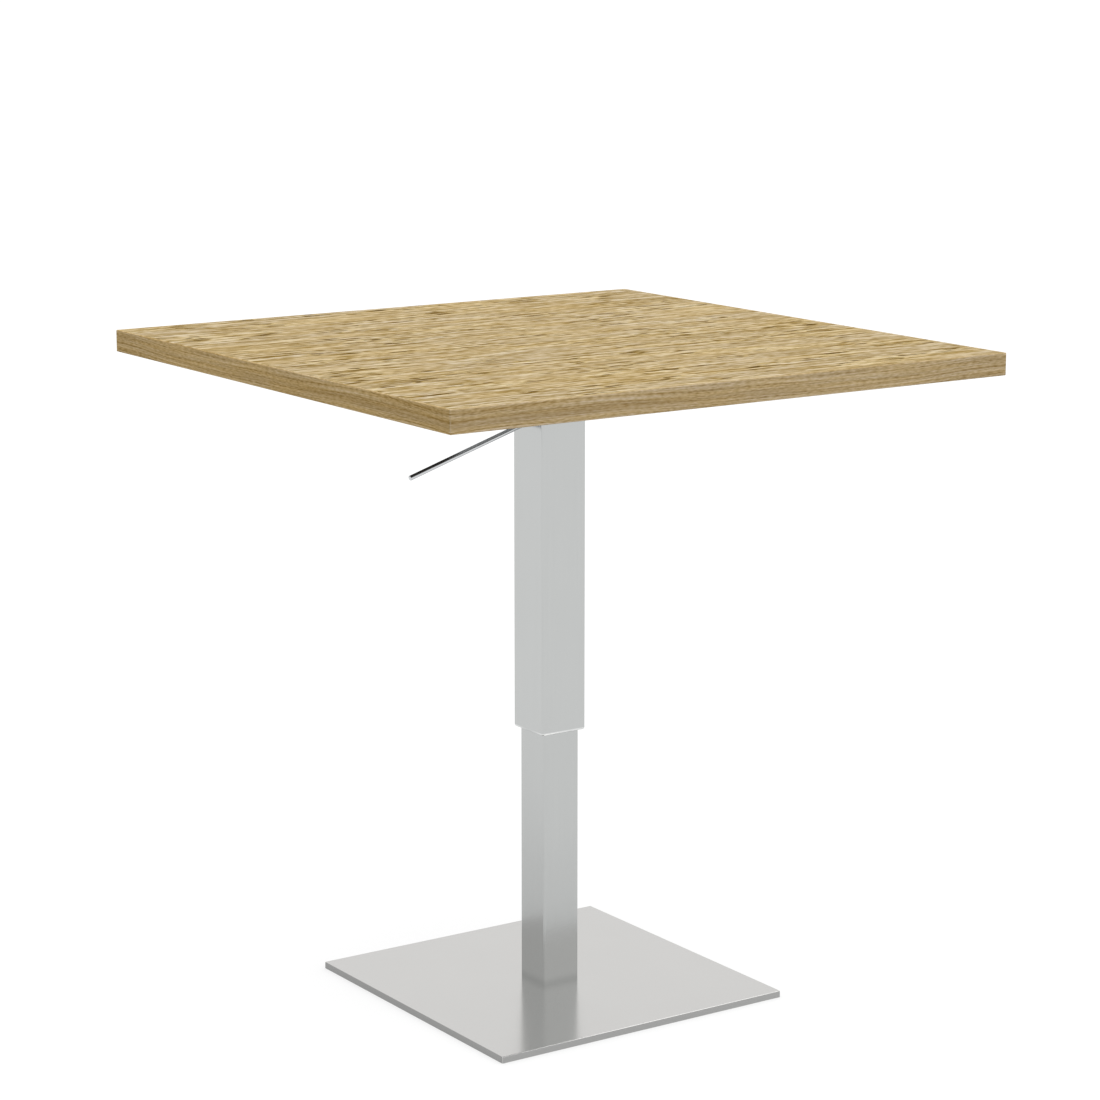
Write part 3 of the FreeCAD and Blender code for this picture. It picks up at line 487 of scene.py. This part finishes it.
def painted_side_shade(finish, place):
    """The base plate's sides, darkened by painted shade: less in front and behind, more on the left and
    the right.
    """
    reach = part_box("base_plate")[1].x
    x, y, _ = finish.parts(place)
    off_x = finish.calc("ABSOLUTE", x)
    off_y = finish.calc("ABSOLUTE", y)
    outermost = finish.calc("MAXIMUM", off_x, off_y)
    side_faces = finish.remap(outermost, reach - SIDE_SHADE_START, reach - SIDE_SHADE_FULL)
    left_or_right = finish.calc("GREATER_THAN", off_x, off_y)
    return side_faces, finish.mix(left_or_right, FRONT_BACK_SHADE_COLOUR, LEFT_RIGHT_SHADE_COLOUR)


def polished(name, colour, roughness):
    """Plated or polished metal with faint handling marks."""
    finish = Finish(name)
    marks = finish.noise(finish.place(), *MARK_WAVES, detail=4.0)
    rough = finish.remap(marks, *MARK_RANGE, roughness, roughness + MARK_ROUGHNESS)
    finish.set(Base_Color=finish.vary(marks, colour, MARK_SHADE), Metallic=1.0, Roughness=rough)
    return finish.material


def grain_roughness(finish, grain, roughness):
    """A roughness that rises and falls a little with a grain."""
    smoothest = roughness - GRAIN_ROUGHNESS_SPREAD
    roughest = roughness + GRAIN_ROUGHNESS_SPREAD
    return finish.remap(grain, *NOISE_RANGE, smoothest, roughest)


def turned(name, colour, roughness):
    """Turned or cast metal with a fine grain."""
    finish = Finish(name)
    grain = finish.noise(finish.place(), *TURNING_WAVES, detail=3.0)
    rough = grain_roughness(finish, grain, roughness)
    finish.set(Base_Color=finish.vary(grain, colour, TURNING_SHADE), Metallic=1.0, Roughness=rough)
    finish.relief(grain, TURNING_RELIEF)
    return finish.material


def coated(name, colour, roughness, grain_waves, depth):
    """Paint, plastic or rubber: a mottled colour with a fine grain."""
    finish = Finish(name)
    place = finish.place()
    grain = finish.noise(place, grain_waves, grain_waves, grain_waves)
    mottle = finish.noise(place, *MOTTLE_WAVES, detail=3.0)
    rough = grain_roughness(finish, grain, roughness)
    finish.set(Base_Color=finish.vary(mottle, colour, MOTTLE_SHADE), Roughness=rough)
    finish.relief(grain, depth)
    return finish.material


def slot_finishes():
    """A finish for each material slot of the model."""
    finishes = {
        "oak_face": oak_face(),
        "oak_edge": oak_edge("oak_edge_front", "X", FRONT_BAND_SHEEN_TINT, FRONT_BAND_GROWTH),
        "board_core": board_core(),
        "backing": backing(),
        "column_steel": brushed_steel(
            "column_steel", INNER_COLOUR, COLUMN_ROUGHNESS, UPRIGHT_BRUSHING, painted_foot_shade
        ),
        "base_steel": brushed_steel("base_steel", BASE_COLOUR, BASE_ROUGHNESS, FLAT_BRUSHING, painted_side_shade),
    }
    for make_finish, looks in ((polished, POLISHED_METALS), (turned, TURNED_METALS), (coated, COATINGS)):
        for slot, look in looks.items():
            finishes[slot] = make_finish(slot, *look)
    return finishes


def own_finishes():
    """A finish for each node that doesn't look like the others of its slot."""
    # The side bands: the front band's oak again, with painted shade
    side_band = oak_edge("oak_edge_side", "Y", SIDE_BAND_SHADE_TINT, SIDE_BAND_GROWTH)
    return {
        "edge_band_left": side_band,
        "edge_band_right": side_band,
        "outer_tube": brushed_steel(
            "outer_tube_steel", OUTER_COLOUR, COLUMN_ROUGHNESS, UPRIGHT_BRUSHING, painted_rim_highlight
        ),
    }


def finish_nodes():
    """Gives every node of the model its own finish, or else the one of its slot."""
    by_slot = slot_finishes()
    by_node = own_finishes()
    for subpart in frame["record"]["subparts"]:
        node = frame["nodes"][subpart["node"]]
        slot_finish = by_slot[subpart["material_slot"]]
        node.data.materials.clear()
        node.data.materials.append(by_node.get(subpart["node"], slot_finish))


# Studio


def ray_kinds(graph):
    """Masks for what the camera sees directly, and for what it sees in metal or through glass."""
    path = graph.add("ShaderNodeLightPath", {}).outputs
    mirrored = graph.calc("MAXIMUM", path["Is Glossy Ray"], path["Is Transmission Ray"])
    return path["Is Camera Ray"], mirrored


def make_world():
    """White as seen, duller on the left and at the back as mirrored, and half as strong as a light."""
    world = bpy.data.worlds.new("studio")
    bpy.context.scene.world = world
    world.use_nodes = True
    graph = Graph(world.node_tree)
    x, y, _ = graph.parts(graph.add("ShaderNodeTexCoord", {}).outputs["Generated"])
    from_left = graph.remap(x, *SKY_LEFT_RANGE, SKY_LEFT, 1.0, soft=False)
    from_back = graph.remap(y, *SKY_BACK_RANGE, 1.0, SKY_BACK, soft=False)
    seen, mirrored = ray_kinds(graph)
    strength = SKY_LIGHT
    for share, glow in ((seen, 1.0), (mirrored, graph.calc("MULTIPLY", from_left, from_back))):
        strength = graph.mix_numbers(share, strength, glow)
    sky = world.node_tree.nodes["Background"]
    graph.feed(sky.inputs["Color"], WHITE)
    graph.feed(sky.inputs["Strength"], strength)


def floor_shader(graph, bounce, glow):
    """A matt floor with a glow of its own."""
    matt = graph.add("ShaderNodeBsdfDiffuse", {"Color": (bounce, bounce, bounce, 1.0)})
    light = graph.add("ShaderNodeEmission", {"Strength": glow})
    return graph.add("ShaderNodeAddShader", {0: matt.outputs[0], 1: light.outputs[0]}).outputs[0]


def make_floor():
    """White floor with the table's shadow. What it throws onto the table is that of a pale floor."""
    bpy.ops.mesh.primitive_plane_add(size=2 * FLOOR_REACH)
    floor = bpy.context.object
    floor.name = "floor"
    material = bpy.data.materials.new("floor")
    material.use_nodes = True
    material.node_tree.nodes.clear()
    graph = Graph(material.node_tree)
    reach = {"Distance": CONTACT_REACH}
    contact = graph.add("ShaderNodeAmbientOcclusion", reach, samples=CONTACT_SAMPLES).outputs["AO"]
    seen_glow = graph.remap(contact, *CONTACT_RANGE, CONTACT_GLOW, FLOOR_GLOW, soft=False)
    seen, mirrored = ray_kinds(graph)
    surface = floor_shader(graph, FLOOR_BOUNCE, 0.0)
    looks = ((mirrored, MIRRORED_BOUNCE, MIRRORED_GLOW), (seen, FLOOR_SHADOW, seen_glow))
    for share, bounce, glow in looks:
        shader = floor_shader(graph, bounce, glow)
        surface = graph.add("ShaderNodeMixShader", {0: share, 1: surface, 2: shader}).outputs[0]
    graph.add("ShaderNodeOutputMaterial", {"Surface": surface})
    floor.data.materials.append(material)


def make_sun():
    """Broad soft lamp above the table."""
    lamp = bpy.data.lights.new("sun", "SUN")
    lamp.energy = math.pi * SUN_LIGHT
    lamp.angle = math.radians(SUN_SPREAD)
    sun = bpy.data.objects.new("sun", lamp)
    sun.rotation_euler = (math.radians(SUN_LEAN_FRONT), math.radians(SUN_LEAN_RIGHT), 0.0)
    bpy.context.collection.objects.link(sun)


def make_camera():
    """The camera of the photo."""
    lens = bpy.data.cameras.new("camera")
    lens.sensor_width = SENSOR_WIDTH
    lens.lens = FOCAL_PIXELS / PICTURE_SIDE * SENSOR_WIDTH
    camera = bpy.data.objects.new("camera", lens)
    camera.location = CAMERA_PLACE
    camera.rotation_euler = (math.radians(CAMERA_TILT), 0.0, math.radians(CAMERA_TURN))
    bpy.context.collection.objects.link(camera)
    bpy.context.scene.camera = camera


finish_nodes()
make_world()
make_floor()
make_sun()
make_camera()
bpy.context.scene.view_settings.view_transform = "Standard"
